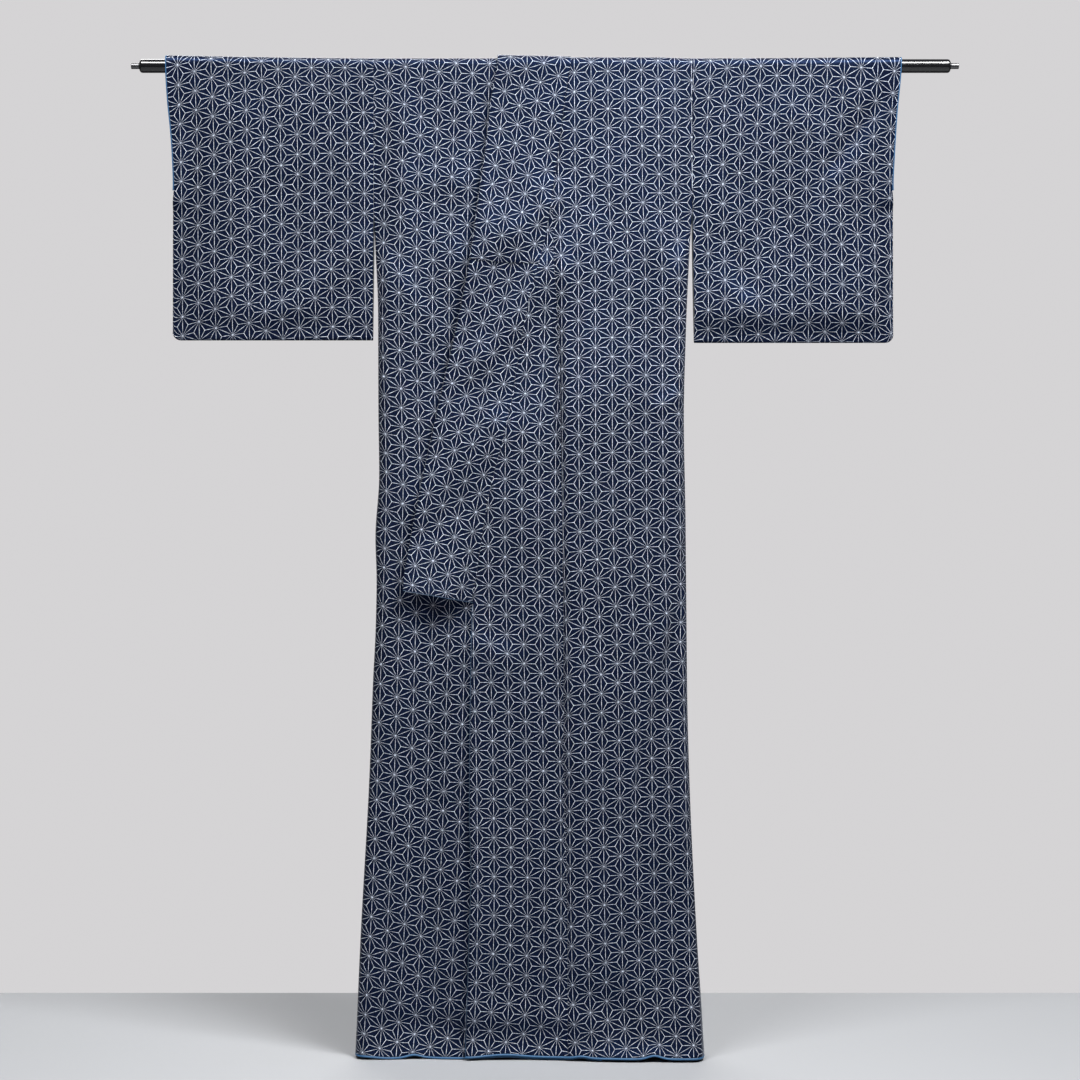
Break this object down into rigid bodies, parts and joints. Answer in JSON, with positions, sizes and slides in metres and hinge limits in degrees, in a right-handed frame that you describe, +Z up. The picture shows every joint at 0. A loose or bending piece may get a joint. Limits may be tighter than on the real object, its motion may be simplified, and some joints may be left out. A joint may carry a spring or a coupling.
{
  "type": "komon kimono on a hanging rod",
  "caption": "Lined women's kimono in an all-over hemp-leaf pattern, hung open-sleeved on a round lacquered rod, left front lying over the right.",
  "frame": {"origin": "the middle of the hanging rod's axis", "axes": "+Z up, +X towards the wearer's left sleeve along the rod, -Y the way the kimono's front faces"},
  "size_m": [1.4166, 0.0948, 1.7092],
  "materials": {
    "komon_silk": "matt navy silk crepe with a fine off-white hemp-leaf line pattern",
    "lining_silk": "smooth teal-blue silk",
    "rod_lacquer": "gloss black lacquer",
    "peg_steel": "satin"
  },
  "bodies": {
    "root": {"rod": "rod_lacquer", "rod_peg_left": "peg_steel", "rod_peg_right": "peg_steel", "right_body": "komon_silk", "left_body": "komon_silk", "right_okumi": "komon_silk", "left_okumi": "komon_silk", "right_sleeve": "komon_silk", "left_sleeve": "komon_silk", "collar": "komon_silk", "collar_cover": "komon_silk", "right_hem_lining": "lining_silk", "left_hem_lining": "lining_silk", "right_cuff_lining": "lining_silk", "left_cuff_lining": "lining_silk"}
  },
  "joints": []
}
